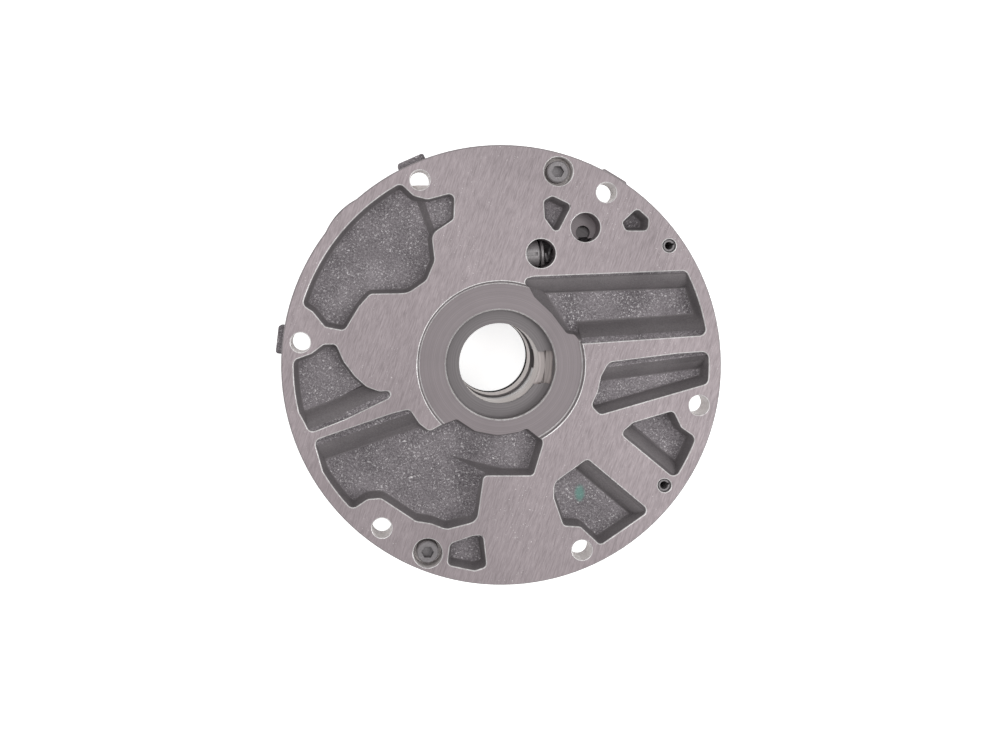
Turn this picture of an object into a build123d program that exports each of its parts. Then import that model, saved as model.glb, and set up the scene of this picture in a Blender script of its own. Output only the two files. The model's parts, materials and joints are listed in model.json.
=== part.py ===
from build123d import *
import os
from math import acos, atan2, cos, degrees, hypot, pi, radians, sin, tan

# Oil pump for a converter-driven gearbox or engine: a ported valve housing with its machined
# mating face up, and a gear housing behind it. Millimetres. Pieces are drawn with Z = 0 in the
# plane of the mating face, on the axis of the main bore, and +Z out of the face. They are
# written out with the origin moved along that axis to the middle of the front bushing.

# ---------------------------------------------------------------- driving dimensions
disc_radius = 100.0  # housing rim
flange_thickness = 12.0
gear_face_depth = 24.0  # mating face down to the plane the gears run against
land_width = 5.7  # sealing land between the channels and the rim
channel_depth = 8.5
land_corner_radius = 3.0
channel_draft = 10.0  # degrees
bank_step = 0.5  # below the mating face, where a bank begins
bank_bulge = 1.2

main_bore_radius = 18.5
recess_radius = 37.5
recess_depth = 1.8
ledge_radius = 24.9
ledge_depth = 6.6
edge_break = 0.6
drain_notch_width = 15.0
drain_notch_depth = 4.0
drain_notch_angle = -4.0
drain_overlap = 3.0  # past the bore wall, so the notch opens into it

bolt_inset = 8.3  # bolt circle, in from the rim
bolt_hole_radius = 4.5
bolt_angles = (58.6, 113.7, 173.6, 233.8, 293.6, 348.5)
lugs = ((58.6, 1.3), (113.7, 2.8), (173.6, 2.8))  # (angle, reach beyond the rim)
lug_width = 13.0
lug_top_depth = 4.0  # lugs start this far below the mating face
lug_corner_radius = 1.2
rim_pad_angle = 137.0
rim_pad_radius = 32.0
rim_pad_reach = 1.2  # beyond the rim

cap_screw_angles = (73.5, 248.7)  # on the bolt circle
screw_radius = 3.0
screw_head_radius = 5.0
screw_head_height = 6.0
screw_head_chamfer = 0.5
screw_socket_across = 5.0
screw_socket_depth = 3.2
screw_grip = 30.0
counterbore_radius = 6.6
counterbore_depth = 7.6
screw_clearance = 0.4
screw_boss_radius = 8.3
ear_thickness = 15.0

running_clearance = 0.05  # radial, spools and gears in their bores
side_clearance = 0.03  # each side of the gears

# gears: an inner gear driven by the converter hub, inside a ring gear, with a crescent between
tooth_module = 4.0
drive_teeth = 16
ring_teeth = 22
pressure_angle = 25.0
backlash = 0.3
gear_width = 12.0
tip_shortening = 0.2  # of the module, on the ring gear
root_depth = 1.1  # of the module
ring_rim = 7.6  # outside the tooth roots
gear_offset_angle = 150.0  # direction from the main bore to the ring gear's centre
drive_bore_clearance = 1.0
drive_slot_width = 9.0
drive_slot_depth = 3.0
crescent_gap = 0.15
kidney_depth = 4.0

body_wall = 12.0  # around the gear chamber
body_floor = 8.0
hub_radius = 32.0
hub_end_depth = 55.0
rib_width = 5.0
rib_count = 6
rib_start_angle = 20.0
bushing_wall = 2.0
seal_radius = 26.0
seal_width = 7.0
seal_metal = 1.0
dowel_radius = 3.0
dowel_length = 14.0
dowel_inset = 6.0  # from the pad's edge
dowel_angles = (60.0, 250.0)  # about the ring gear's centre

rib_inset = 5.0
rib_height = 6.0
kidney_angles = (60.0, 240.0)
kidney_span = 56.0
kidney_inset = 1.5
seal_seat_depth = hub_end_depth - seal_width
seal_inner_radius = 21.5
# section of the seal's lip: (outside the bore's radius, below the case's inner face)
lip_section = (
    (5.0, 0.0), (2.0, 0.0), (0.6, 2.6), (-0.1, 3.6), (0.4, 4.6), (1.6, 4.8), (1.5, 3.0),
    (3.6, 1.2), (5.0, 1.2),
)
garter_radius = 0.8
garter_seat = (1.6, 3.9)  # (outside the bore's radius, below the case's inner face)
bushing_inset = 0.5  # below the faces that a bushing stops short of
front_bushing_length = 14.0
hub_bushing_gap = 1.44  # from the gear chamber's floor
dowel_end_gap = 0.4

# valve lines: cross drillings from the rim, parallel to the mating face
valve_axis_depth = 13.0
regulator_pin_inset = 6.4  # in from the rim
regulator_pin_angle = 35.36  # where the pin stands, seen from the main bore
regulator_angle = 3.5  # outward direction of the line
regulator_bore_radius = 6.5
regulator_reach = 81.0  # from the pin inwards to the blind end
relief_pin_inset = 7.85
relief_pin_angle = -36.42
relief_angle = -39.3
relief_bore_radius = 5.5
relief_reach = 50.0
boss_wall = 4.5
pin_radius = 2.5
pin_wall = 0.7
pin_slot = 1.0
pin_top_depth = 0.9
pin_mouth_radius = 3.05
pin_mouth_depth = 1.6
pin_end_depth = 21.5
cross_hole_clearance = 0.1
spring_wire_radius = 0.7
spring_turns = 7
spring_side_clearance = 0.5
o_ring_radius = 0.9
port_radius = 6.65
port_depth = 14.0
valve_port_at = (18.11, 50.62)
blind_port_at = (38.35, 62.46)

o_ring_squeeze = 0.1
groove_width = 2.4
plug_inner_end = -18.0  # from the pin, along the valve line
plug_pin_margin = 4.0
plug_groove_land = 1.5  # between the margin and the seal's groove
plug_inner_land = 1.2
plug_cup_wall = 1.6
plug_cup_depth = 6.0
pin_bottom_gap = 0.3
pin_slot_angle = 20.0
regulator_spool_start = -80.0
regulator_steps = (  # (length, relief below the land's radius), inner end first
    (2.0, 3.5),
    (8.0, 0.0),
    (7.0, 3.0),
    (6.0, 0.0),
    (1.2, 0.8),
)
relief_spool_start = -49.0
relief_steps = ((1.5, 2.5), (6.0, 0.0), (4.0, 2.4), (5.0, 0.0))
spring_end_gap = 0.1
spool_slot_width = 1.6
spool_slot_depth = 1.4

# oil galleries: plain drillings closed at the rim by cup plugs
gallery_radius = 3.5
# (plug seat in from the rim, its angle, outward direction, length of the drilling)
gallery_lines = ((11.5, 6.2, 5.0, 40.0), (9.5, 201.0, 201.5, 42.0))
plug_radius = 5.0
plug_height = 3.5
plug_wall = 1.0

land_radius = disc_radius - land_width
clear_radius = 2 * disc_radius  # beyond everything, for trimming
bolt_circle_radius = disc_radius - bolt_inset
ring_pitch_radius = tooth_module * ring_teeth / 2
drive_pitch_radius = tooth_module * drive_teeth / 2
gear_offset = ring_pitch_radius - drive_pitch_radius
drive_tip_radius = drive_pitch_radius + tooth_module
drive_root_radius = drive_pitch_radius - root_depth * tooth_module
ring_tip_radius = ring_pitch_radius - (1 - tip_shortening) * tooth_module
ring_root_radius = ring_pitch_radius + root_depth * tooth_module
ring_outer_radius = ring_root_radius + ring_rim
chamber_radius = ring_outer_radius + running_clearance
chamber_depth = gear_width + 2 * side_clearance
body_radius = chamber_radius + body_wall
drive_bore_radius = main_bore_radius + drive_bore_clearance
bushing_radius = main_bore_radius + bushing_wall
chamber_floor_depth = gear_face_depth + chamber_depth
body_back_depth = chamber_floor_depth + body_floor
hub_bushing_length = seal_seat_depth - chamber_floor_depth - hub_bushing_gap
origin_depth = gear_face_depth - bushing_inset - front_bushing_length / 2


def polar(radius, angle):
    return (radius * cos(radians(angle)), radius * sin(radians(angle)))


def cross_plane(point, angle):
    """Plane across a valve line: its Z runs outwards along the drilling."""
    direction = (cos(radians(angle)), sin(radians(angle)), 0)
    return Plane(
        origin=(point[0], point[1], -valve_axis_depth), x_dir=(0, 0, 1), z_dir=direction
    )


def turning_plane(point, angle):
    """Plane through a valve line: its X runs outwards along the drilling, its Y is +Z."""
    c, s = cos(radians(angle)), sin(radians(angle))
    return Plane(
        origin=(point[0], point[1], -valve_axis_depth), x_dir=(c, s, 0), z_dir=(s, -c, 0)
    )


def outline_of(steps, start):
    """Half profile of a turned piece: steps are (length, radius) along its axis."""
    points = [(start, 0)]
    at = start
    for length, radius in steps:
        points.append((at, radius))
        at += length
        points.append((at, radius))
    points.append((at, 0))
    return points


ring_centre = polar(gear_offset, gear_offset_angle)
bolt_places = [polar(bolt_circle_radius, angle) for angle in bolt_angles]
screw_places = [polar(bolt_circle_radius, angle) for angle in cap_screw_angles]
dowel_places = [
    (
        ring_centre[0] + polar(body_radius - dowel_inset, angle)[0],
        ring_centre[1] + polar(body_radius - dowel_inset, angle)[1],
    )
    for angle in dowel_angles
]
regulator_pin_at = polar(disc_radius - regulator_pin_inset, regulator_pin_angle)
relief_pin_at = polar(disc_radius - relief_pin_inset, relief_pin_angle)
regulator_cross = cross_plane(regulator_pin_at, regulator_angle)
regulator_turning = turning_plane(regulator_pin_at, regulator_angle)
relief_cross = cross_plane(relief_pin_at, relief_angle)
relief_turning = turning_plane(relief_pin_at, relief_angle)

# ---------------------------------------------------------------- channel outlines
# Each corner is (x, y, corner radius), anticlockwise. Corners beyond land_radius are trimmed
# to the sealing land. A fourth number is the bank of the wall that starts there: the wall leans
# in over the boss of a drilling, by that width at the floor.
channels = {
    "upper_left": [
        (-99, 33, 0), (-85.5, 24.2, 3), (-80.0, 17.4, 2.5), (-71.2, 15.6, 3),
        (-64.6, 26.6, 5), (-59.5, 32.3, 3), (-42.4, 32.6, 9), (-34.0, 38.4, 5),
        (-30.2, 47.5, 5), (-31.6, 59.5, 5), (-21.6, 66.2, 2.2), (-21.2, 78.4, 2.5),
        (-33.4, 75.1, 5), (-39.8, 76.8, 4), (-46.4, 83.2, 2.5), (-55, 92, 0),
        (-95, 75, 0),
    ],
    "left": [
        (-87.0, -31.0, 3, 9.3), (-70.3, -24.4, 10), (-51.4, -15.2, 1.4), (-48.6, -11.7, 1.4),
        (-55.1, -12.1, 3), (-61.0, -10.0, 6), (-66.3, -5.3, 6), (-71.6, 1.6, 6),
        (-75.0, 9.4, 2.5), (-80.6, 9.3, 2.5), (-86.1, 5.1, 3), (-99, 0.5, 0),
        (-99.0, -9.0, 0), (-89.6, -25.5, 6),
    ],
    "suction": [
        (-75.0, -70.5, 0), (-60.6, -60.9, 3), (-54.6, -60.4, 4), (-38.7, -70.9, 4),
        (-31.5, -72.0, 4), (-25.0, -74.6, 6), (-11.0, -71.0, 5), (-8.0, -50.2, 2.2),
        (14.6, -50.2, 2.2), (19.4, -34.4, 3), (12.0, -28.6, 2.2), (8.4, -30.3, 3),
        (-1.2, -31.9, 12), (-11.5, -30.0, 5), (-20.0, -24.4, 2.2), (-27.2, -27.2, 3),
        (-32.6, -30.2, 2.5), (-37.2, -26.6, 3), (-41.6, -20.0, 3), (-50.0, -22.2, 8, 11.0),
        (-84.9, -34.3, 3), (-77.5, -60.5, 0),
    ],
    "pressure": [
        (36.2, 9.6, 2.2, 4.5), (88.9, 13.2, 0), (101.0, 14.0, 0), (101.0, 43.5, 0, 8.0),
        (15.0, 40.2, 3), (7.2, 38.2, 2.0), (12.4, 35.6, 3), (15.0, 30.6, 4),
        (23.2, 22.8, 4), (29.9, 13.8, 3), (33.6, 13.4, 2.2),
    ],
    "right": [
        (45.0, -22.6, 2.5, 3.0), (79.3, -12.7, 10), (100.0, -6.7, 0), (100.0, 6.6, 0),
        (79.3, 5.1, 10, 5.5), (48.9, 1.2, 4), (45.4, -5.2, 4), (44.0, -12.0, 4),
        (41.0, -18.6, 2.5),
    ],
    "lower_right": [
        (54.2, -31.2, 2.2, 6.5), (84.0, -55.9, 0), (100.0, -41.0, 0), (81.8, -28.4, 3),
        (78.2, -20.8, 2.2), (73.7, -22.1, 10), (60.0, -26.2, 2.5),
    ],
    "bottom_right": [
        (28.4, -73.0, 2.2), (36.0, -73.4, 3), (45.0, -81.8, 2.2), (67.4, -66.2, 2.5, 7.0),
        (39.2, -42.6, 2.2), (24.2, -53.4, 5), (24.0, -60.4, 5),
    ],
    "top_small": [
        (19.8, 66.8, 2.2), (25.2, 59.4, 1.8), (32.0, 72.6, 2.2), (23.2, 76.8, 2.2),
        (19.4, 74.6, 1.8),
    ],
    "right_small": [
        (56.6, 61.0, 2), (66.6, 61.0, 2.2), (67.0, 66.4, 2.2), (61.8, 71.2, 2.2),
        (55.0, 64.8, 1.6),
    ],
    "bottom_small": [
        (-24.4, -90.8, 2.2), (-12.0, -93.4, 4), (-6.6, -91.6, 2.2), (-8.2, -77.2, 2.2),
        (-13.0, -77.6, 3), (-23.2, -81.2, 3),
    ],
}


def channel_cutter(corners):
    """The space of one cast channel: a drafted pocket, with banks left over the bosses."""
    with BuildPart() as cutter:
        with BuildSketch() as outline:
            with BuildLine():
                FilletPolyline(
                    *[corner[:2] for corner in corners],
                    radius=[corner[2] for corner in corners],
                    close=True,
                )
            make_face()
            Circle(land_radius, mode=Mode.INTERSECT)
            at_land = outline.vertices().filter_by(
                lambda v: abs(hypot(v.X, v.Y) - land_radius) < 0.001
            )
            if at_land:
                fillet(at_land, radius=land_corner_radius)
        extrude(amount=-channel_depth, taper=channel_draft)
        for corner, following in zip(corners, corners[1:] + corners[:1]):
            if len(corner) < 4:
                continue
            start, end, width = Vector(*corner[:2]), Vector(*following[:2]), corner[3]
            along = (end - start).normalized()
            inward = Vector(-along.Y, along.X)
            reach = 2 * channel_depth
            with BuildSketch(
                Plane(origin=start - along * reach, x_dir=inward, z_dir=along)
            ):
                with BuildLine():
                    top, foot = (-bank_step, -bank_step), (width, -channel_depth)
                    SagittaArc(top, foot, bank_bulge)
                    Polyline(
                        foot,
                        (width, -2 * channel_depth),
                        (-reach, -2 * channel_depth),
                        (-reach, -bank_step),
                        top,
                    )
                make_face()
            extrude(amount=(end - start).length + 2 * reach, mode=Mode.SUBTRACT)
    return cutter.part


# ---------------------------------------------------------------- valve housing
rim_exit = 16.0  # further out than any drilling's mouth, from its pin or plug
regulator_boss_radius = regulator_bore_radius + boss_wall
relief_boss_radius = relief_bore_radius + boss_wall
gallery_boss_radius = gallery_radius + boss_wall
gallery_planes = [
    cross_plane(polar(disc_radius - inset, place), direction)
    for inset, place, direction, _ in gallery_lines
]
# (plane, boss radius, bore radius, inner end) of each cross drilling
drillings = [
    (regulator_cross, regulator_boss_radius, regulator_bore_radius, -regulator_reach),
    (relief_cross, relief_boss_radius, relief_bore_radius, -relief_reach),
] + [
    (plane, gallery_boss_radius, gallery_radius, -line[-1])
    for plane, line in zip(gallery_planes, gallery_lines)
]

with BuildPart() as valve_housing:
    with BuildSketch():
        Circle(disc_radius)
    extrude(amount=-flange_thickness)
    # the pad that the gear housing seats on, with a boss behind each cap screw
    with BuildSketch(Plane.XY.offset(-flange_thickness)):
        with Locations(ring_centre):
            Circle(body_radius)
        with Locations(*screw_places):
            Circle(screw_boss_radius)
    extrude(amount=flange_thickness - gear_face_depth)
    # bosses round the cross drillings, from the blind end out to the rim
    for cross, boss, _, inner_end in drillings:
        with BuildSketch(cross.offset(inner_end - boss_wall)):
            Circle(boss)
        extrude(amount=boss_wall - inner_end + rim_exit)
    cuts = [(cross, bore, inner_end) for cross, _, bore, inner_end in drillings]
    cuts += [(plane, plug_radius, 0) for plane in gallery_planes]
    for cross, bore, inner_end in cuts:
        with BuildSketch(cross.offset(inner_end)):
            Circle(bore)
        extrude(amount=rim_exit - inner_end, mode=Mode.SUBTRACT)
    # nothing stands past the rim except the pad and the lugs
    with BuildSketch(Plane.XY.offset(-2 * gear_face_depth)):
        Circle(clear_radius)
        Circle(disc_radius - edge_break, mode=Mode.SUBTRACT)
    extrude(amount=2 * gear_face_depth - flange_thickness, mode=Mode.SUBTRACT)
    with BuildSketch():
        Circle(clear_radius)
        Circle(disc_radius, mode=Mode.SUBTRACT)
    extrude(amount=-flange_thickness, mode=Mode.SUBTRACT)
    # a low pad on the rim, and squared lugs under it behind some of the bolt holes
    with BuildSketch():
        with Locations(polar(disc_radius + rim_pad_reach - rim_pad_radius, rim_pad_angle)):
            Circle(rim_pad_radius)
    extrude(amount=-flange_thickness)
    with BuildSketch(Plane.XY.offset(-lug_top_depth)):
        for angle, reach in lugs:
            middle = (bolt_circle_radius + disc_radius + reach) / 2
            with Locations(Location((*polar(middle, angle), 0), (0, 0, angle))):
                RectangleRounded(
                    disc_radius + reach - bolt_circle_radius, lug_width, lug_corner_radius
                )
    extrude(amount=lug_top_depth - flange_thickness)
    chamfer(
        valve_housing.faces().sort_by(Axis.Z)[-1].outer_wire().edges(), length=edge_break
    )
    # machined recess, ledge and main bore, turned as one profile
    with BuildSketch(Plane.XZ):
        with BuildLine():
            Polyline(
                (0, 0),
                (recess_radius + edge_break, 0),
                (recess_radius, -edge_break),
                (recess_radius, -recess_depth),
                (ledge_radius + edge_break, -recess_depth),
                (ledge_radius, -recess_depth - edge_break),
                (ledge_radius, -ledge_depth),
                (bushing_radius + edge_break, -ledge_depth),
                (bushing_radius, -ledge_depth - edge_break),
                (bushing_radius, -gear_face_depth),
                (0, -gear_face_depth),
                close=True,
            )
        make_face()
    revolve(axis=Axis.Z, mode=Mode.SUBTRACT)
    drain_length = ledge_radius - edge_break - main_bore_radius + drain_overlap
    drain_middle = ledge_radius - edge_break - drain_length / 2
    with BuildSketch(Plane.XY.offset(-ledge_depth)):
        with Locations(
            Location((*polar(drain_middle, drain_notch_angle), 0), (0, 0, drain_notch_angle))
        ):
            Rectangle(drain_length, drain_notch_width)
    extrude(amount=-drain_notch_depth, mode=Mode.SUBTRACT)
    # bolts, cap screws and ports
    with Locations(*bolt_places):
        Hole(radius=bolt_hole_radius)
    with Locations(*screw_places):
        CounterBoreHole(
            radius=screw_radius + screw_clearance,
            counter_bore_radius=counterbore_radius,
            counter_bore_depth=counterbore_depth,
        )
    with BuildSketch():
        with Locations(valve_port_at, blind_port_at):
            Circle(port_radius)
    extrude(amount=-port_depth, mode=Mode.SUBTRACT)
    # cross drillings, their cup plug seats, and the pins' holes
    with BuildSketch():
        with Locations(regulator_pin_at, relief_pin_at):
            Circle(pin_radius)
    extrude(amount=-pin_end_depth, mode=Mode.SUBTRACT)
    with BuildSketch():
        with Locations(regulator_pin_at, relief_pin_at):
            Circle(pin_mouth_radius)
    extrude(amount=-pin_mouth_depth, mode=Mode.SUBTRACT)
    with BuildSketch(Plane.XY.offset(-gear_face_depth)):
        with Locations(*dowel_places):
            Circle(dowel_radius)
    extrude(amount=dowel_length / 2, mode=Mode.SUBTRACT)
    for corners in channels.values():
        add(channel_cutter(corners), mode=Mode.SUBTRACT)
valve_housing.part.label = "valve_housing"


# ---------------------------------------------------------------- gear housing
with BuildPart() as gear_housing:
    with BuildSketch(Plane.XY.offset(-gear_face_depth)):
        with Locations(ring_centre):
            Circle(body_radius)
    extrude(amount=gear_face_depth - body_back_depth)
    # ears out to the cap screws
    with BuildSketch(Plane.XY.offset(-gear_face_depth)):
        for place in screw_places:
            spread = Vector(*place) - Vector(*ring_centre)
            turn = degrees(atan2(spread.Y, spread.X))
            with Locations(Location((*place, 0), (0, 0, turn))):
                Circle(screw_boss_radius)
                Rectangle(
                    spread.length - body_radius / 2,
                    2 * screw_boss_radius,
                    align=(Align.MAX, Align.CENTER),
                )
    extrude(amount=-ear_thickness)
    # ribs out from the hub, then the hub itself beyond them
    with BuildSketch(Plane.XY.offset(-body_back_depth)):
        with PolarLocations(0, rib_count, start_angle=rib_start_angle):
            Rectangle(body_radius, rib_width, align=(Align.MIN, Align.CENTER))
        with Locations(ring_centre):
            Circle(body_radius - rib_inset, mode=Mode.INTERSECT)
        Circle(hub_radius)
    extrude(amount=-rib_height)
    with BuildSketch(Plane.XY.offset(-body_back_depth - rib_height)):
        Circle(hub_radius)
    extrude(amount=body_back_depth + rib_height - hub_end_depth)
    # gear chamber, then the crescent standing in it
    with BuildSketch(Plane.XY.offset(-gear_face_depth)):
        with Locations(ring_centre):
            Circle(chamber_radius)
    extrude(amount=-chamber_depth, mode=Mode.SUBTRACT)
    with BuildSketch(Plane.XY.offset(-chamber_floor_depth)):
        with Locations(ring_centre):
            Circle(ring_tip_radius - crescent_gap)
        Circle(drive_tip_radius + crescent_gap, mode=Mode.SUBTRACT)
        with Locations(Location((0, 0, 0), (0, 0, gear_offset_angle))):
            Rectangle(
                chamber_radius * 2,
                chamber_radius * 2,
                align=(Align.MAX, Align.CENTER),
                mode=Mode.SUBTRACT,
            )
    extrude(amount=chamber_depth - side_clearance)
    # ported floor: one kidney for each side of the mesh
    for middle in kidney_angles:
        with BuildSketch(Plane.XY.offset(-chamber_floor_depth)):
            with BuildLine():
                inner = CenterArc(
                    (0, 0), drive_root_radius, middle - kidney_span / 2, kidney_span
                )
                outer = CenterArc(
                    (0, 0),
                    drive_tip_radius - kidney_inset,
                    middle - kidney_span / 2,
                    kidney_span,
                )
                Line(inner @ 0, outer @ 0)
                Line(inner @ 1, outer @ 1)
            make_face()
        extrude(amount=-kidney_depth, mode=Mode.SUBTRACT)
    # bushing seat and seal seat
    with BuildSketch(Plane.XZ):
        with BuildLine():
            Polyline(
                (0, -gear_face_depth),
                (bushing_radius, -gear_face_depth),
                (bushing_radius, -seal_seat_depth),
                (seal_radius, -seal_seat_depth),
                (seal_radius, -hub_end_depth + edge_break),
                (seal_radius + edge_break, -hub_end_depth),
                (0, -hub_end_depth),
                close=True,
            )
        make_face()
    revolve(axis=Axis.Z, mode=Mode.SUBTRACT)
    with BuildSketch(Plane.XY.offset(-gear_face_depth)):
        with Locations(*screw_places):
            Circle(screw_radius)
    extrude(amount=-ear_thickness, mode=Mode.SUBTRACT)
    with BuildSketch(Plane.XY.offset(-gear_face_depth)):
        with Locations(*dowel_places):
            Circle(dowel_radius)
    extrude(amount=-dowel_length / 2, mode=Mode.SUBTRACT)
gear_housing.part.label = "gear_housing"


# ---------------------------------------------------------------- gears
def involute(angle):
    return tan(angle) - angle


def half_angle(radius, pitch_radius, thickness):
    """Half the angle, in radians, that an involute tooth spans at a radius."""
    base_radius = pitch_radius * cos(radians(pressure_angle))
    at_pitch = thickness / (2 * pitch_radius)
    lean = acos(min(1.0, base_radius / radius))
    return at_pitch + involute(radians(pressure_angle)) - involute(lean)


def tooth_outline(teeth, inner_radius, outer_radius, thickness, first_angle):
    """Closed edges of a toothed wheel: flank, tip, flank and root for every tooth."""
    pitch_radius = tooth_module * teeth / 2
    radii = (inner_radius, (inner_radius + outer_radius) / 2, outer_radius)
    spans = [degrees(half_angle(radius, pitch_radius, thickness)) for radius in radii]
    pitch_step = 360 / teeth
    edges = []
    for tooth in range(teeth):
        middle = first_angle + tooth * pitch_step
        rising = [polar(r, middle - span) for r, span in zip(radii, spans)]
        falling = [polar(r, middle + span) for r, span in zip(radii, spans)][::-1]
        edges.append(Edge.make_three_point_arc(*rising))
        edges.append(
            Edge.make_three_point_arc(rising[-1], polar(outer_radius, middle), falling[0])
        )
        edges.append(Edge.make_three_point_arc(*falling))
        next_root = polar(inner_radius, middle + pitch_step - spans[0])
        edges.append(
            Edge.make_three_point_arc(
                falling[-1], polar(inner_radius, middle + pitch_step / 2), next_root
            )
        )
    return edges


gear_top_depth = gear_face_depth + side_clearance
circular_thickness = pi * tooth_module / 2
mesh_angle = gear_offset_angle + 180  # a drive tooth sits in a ring space here

with BuildPart() as drive_gear:
    with BuildSketch(Plane.XY.offset(-gear_top_depth)):
        with BuildLine():
            add(
                tooth_outline(
                    drive_teeth,
                    drive_root_radius,
                    drive_tip_radius,
                    circular_thickness - backlash,
                    mesh_angle,
                )
            )
        make_face()
        Circle(drive_bore_radius, mode=Mode.SUBTRACT)
        Rectangle(
            2 * (drive_bore_radius + drive_slot_depth),
            drive_slot_width,
            mode=Mode.SUBTRACT,
        )
    extrude(amount=-gear_width)
drive_gear.part.label = "drive_gear"

with BuildPart() as ring_gear:
    with BuildSketch(Plane.XY.offset(-gear_top_depth)):
        with Locations(ring_centre):
            Circle(ring_outer_radius)
    extrude(amount=-gear_width)
    with BuildSketch(
        Plane(origin=(*ring_centre, -gear_top_depth), x_dir=(1, 0, 0), z_dir=(0, 0, 1))
    ):
        with BuildLine():
            add(
                tooth_outline(
                    ring_teeth,
                    ring_tip_radius,
                    ring_root_radius,
                    circular_thickness + backlash,
                    mesh_angle,
                )
            )
        make_face()
    extrude(amount=-gear_width, mode=Mode.SUBTRACT)
ring_gear.part.label = "ring_gear"

# ---------------------------------------------------------------- bushings and shaft seal
with BuildPart() as front_bushing:
    with BuildSketch(Plane.XY.offset(-gear_face_depth + bushing_inset)):
        Circle(bushing_radius)
        Circle(main_bore_radius, mode=Mode.SUBTRACT)
    extrude(amount=front_bushing_length)
front_bushing.part.label = "front_bushing"

with BuildPart() as hub_bushing:
    with BuildSketch(Plane.XY.offset(-seal_seat_depth)):
        Circle(bushing_radius)
        Circle(main_bore_radius, mode=Mode.SUBTRACT)
    extrude(amount=hub_bushing_length)
hub_bushing.part.label = "hub_bushing"

with BuildPart() as seal_case:
    with BuildSketch(Plane.XZ):
        with BuildLine():
            Polyline(
                (seal_radius, -hub_end_depth),
                (seal_radius, -hub_end_depth + seal_width),
                (seal_inner_radius, -hub_end_depth + seal_width),
                (seal_inner_radius, -hub_end_depth + seal_width - seal_metal),
                (seal_radius - seal_metal, -hub_end_depth + seal_width - seal_metal),
                (seal_radius - seal_metal, -hub_end_depth),
                close=True,
            )
        make_face()
    revolve(axis=Axis.Z)
seal_case.part.label = "seal_case"

seal_floor = -hub_end_depth + seal_width - seal_metal  # the case's inner face
with BuildPart() as seal_lip:
    with BuildSketch(Plane.XZ):
        with BuildLine():
            Polyline(
                *[
                    (main_bore_radius + outside, seal_floor - below)
                    for outside, below in lip_section
                ],
                close=True,
            )
        make_face()
    revolve(axis=Axis.Z)
seal_lip.part.label = "seal_lip"

with BuildPart() as garter_spring:
    with BuildSketch(Plane.XZ):
        with Locations(
            (main_bore_radius + garter_seat[0] + garter_radius, seal_floor - garter_seat[1])
        ):
            Circle(garter_radius)
    revolve(axis=Axis.Z)
garter_spring.part.label = "garter_spring"

# ---------------------------------------------------------------- fasteners
with BuildPart() as cap_screws:
    with Locations(*[(x, y, -counterbore_depth) for x, y in screw_places]):
        Cylinder(
            screw_head_radius,
            screw_head_height,
            align=(Align.CENTER, Align.CENTER, Align.MIN),
        )
        Cylinder(
            screw_radius, screw_grip, align=(Align.CENTER, Align.CENTER, Align.MAX)
        )
    chamfer(
        cap_screws.edges().filter_by(GeomType.CIRCLE).group_by(Axis.Z)[-1],
        length=screw_head_chamfer,
    )
    with BuildSketch(Plane.XY.offset(screw_head_height - counterbore_depth)):
        with Locations(*screw_places):
            RegularPolygon(screw_socket_across / 2, 6, major_radius=False)
    extrude(amount=-screw_socket_depth, mode=Mode.SUBTRACT)
cap_screws.part.label = "cap_screws"

with BuildPart() as dowel_pins:
    with BuildSketch(Plane.XY.offset(-gear_face_depth)):
        with Locations(*dowel_places):
            Circle(dowel_radius)
    extrude(amount=(dowel_length - dowel_end_gap) / 2, both=True)
dowel_pins.part.label = "dowel_pins"

# ---------------------------------------------------------------- valve trains
def turned(plane, start, steps):
    """A solid turned about a valve line, from a list of (length, radius) steps."""
    with BuildPart() as piece:
        with BuildSketch(plane):
            with BuildLine():
                Polyline(*outline_of(steps, start), close=True)
            make_face()
        revolve(axis=Axis(plane.origin, plane.x_dir))
    return piece.part


def coil_spring(cross, start, length, coil_radius):
    """A compression spring along a valve line, coiled upright and then laid in its bore."""
    rise = length - 2 * spring_wire_radius
    with BuildPart() as spring:
        with BuildLine() as path:
            Helix(pitch=rise / spring_turns, height=rise, radius=coil_radius)
        with BuildSketch(path.line ^ 0):
            Circle(spring_wire_radius)
        sweep(is_frenet=True)
    return spring.part.moved(cross.offset(start + spring_wire_radius).location)


def end_plug(cross, turning, bore):
    """Plug that closes a valve bore, with a seal groove, cross hole and spring cup."""
    radius = bore - running_clearance
    groove = radius - 2 * o_ring_radius + o_ring_squeeze
    blank = turned(
        turning,
        plug_inner_end,
        [
            (-plug_inner_end - plug_pin_margin - groove_width - plug_groove_land, radius),
            (groove_width, groove),
            (plug_groove_land + 2 * plug_pin_margin + plug_inner_land, radius),
        ],
    )
    with BuildPart() as plug:
        add(blank)
        with BuildSketch(cross.offset(plug_inner_end)):
            Circle(bore - plug_cup_wall)
        extrude(amount=plug_cup_depth, mode=Mode.SUBTRACT)
        with BuildSketch(Plane(origin=(cross.origin.X, cross.origin.Y, 0))):
            Circle(pin_radius + cross_hole_clearance)
        extrude(amount=-2 * valve_axis_depth, mode=Mode.SUBTRACT)
    return plug.part


def plug_seal(turning, bore):
    """The ring in an end plug's groove."""
    ring_radius = bore - running_clearance - o_ring_radius
    with BuildPart() as ring:
        with BuildSketch(turning):
            with Locations(
                (-plug_pin_margin - plug_groove_land - groove_width / 2, ring_radius)
            ):
                Circle(o_ring_radius - o_ring_squeeze)
        revolve(axis=Axis(turning.origin, turning.x_dir))
    return ring.part


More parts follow.
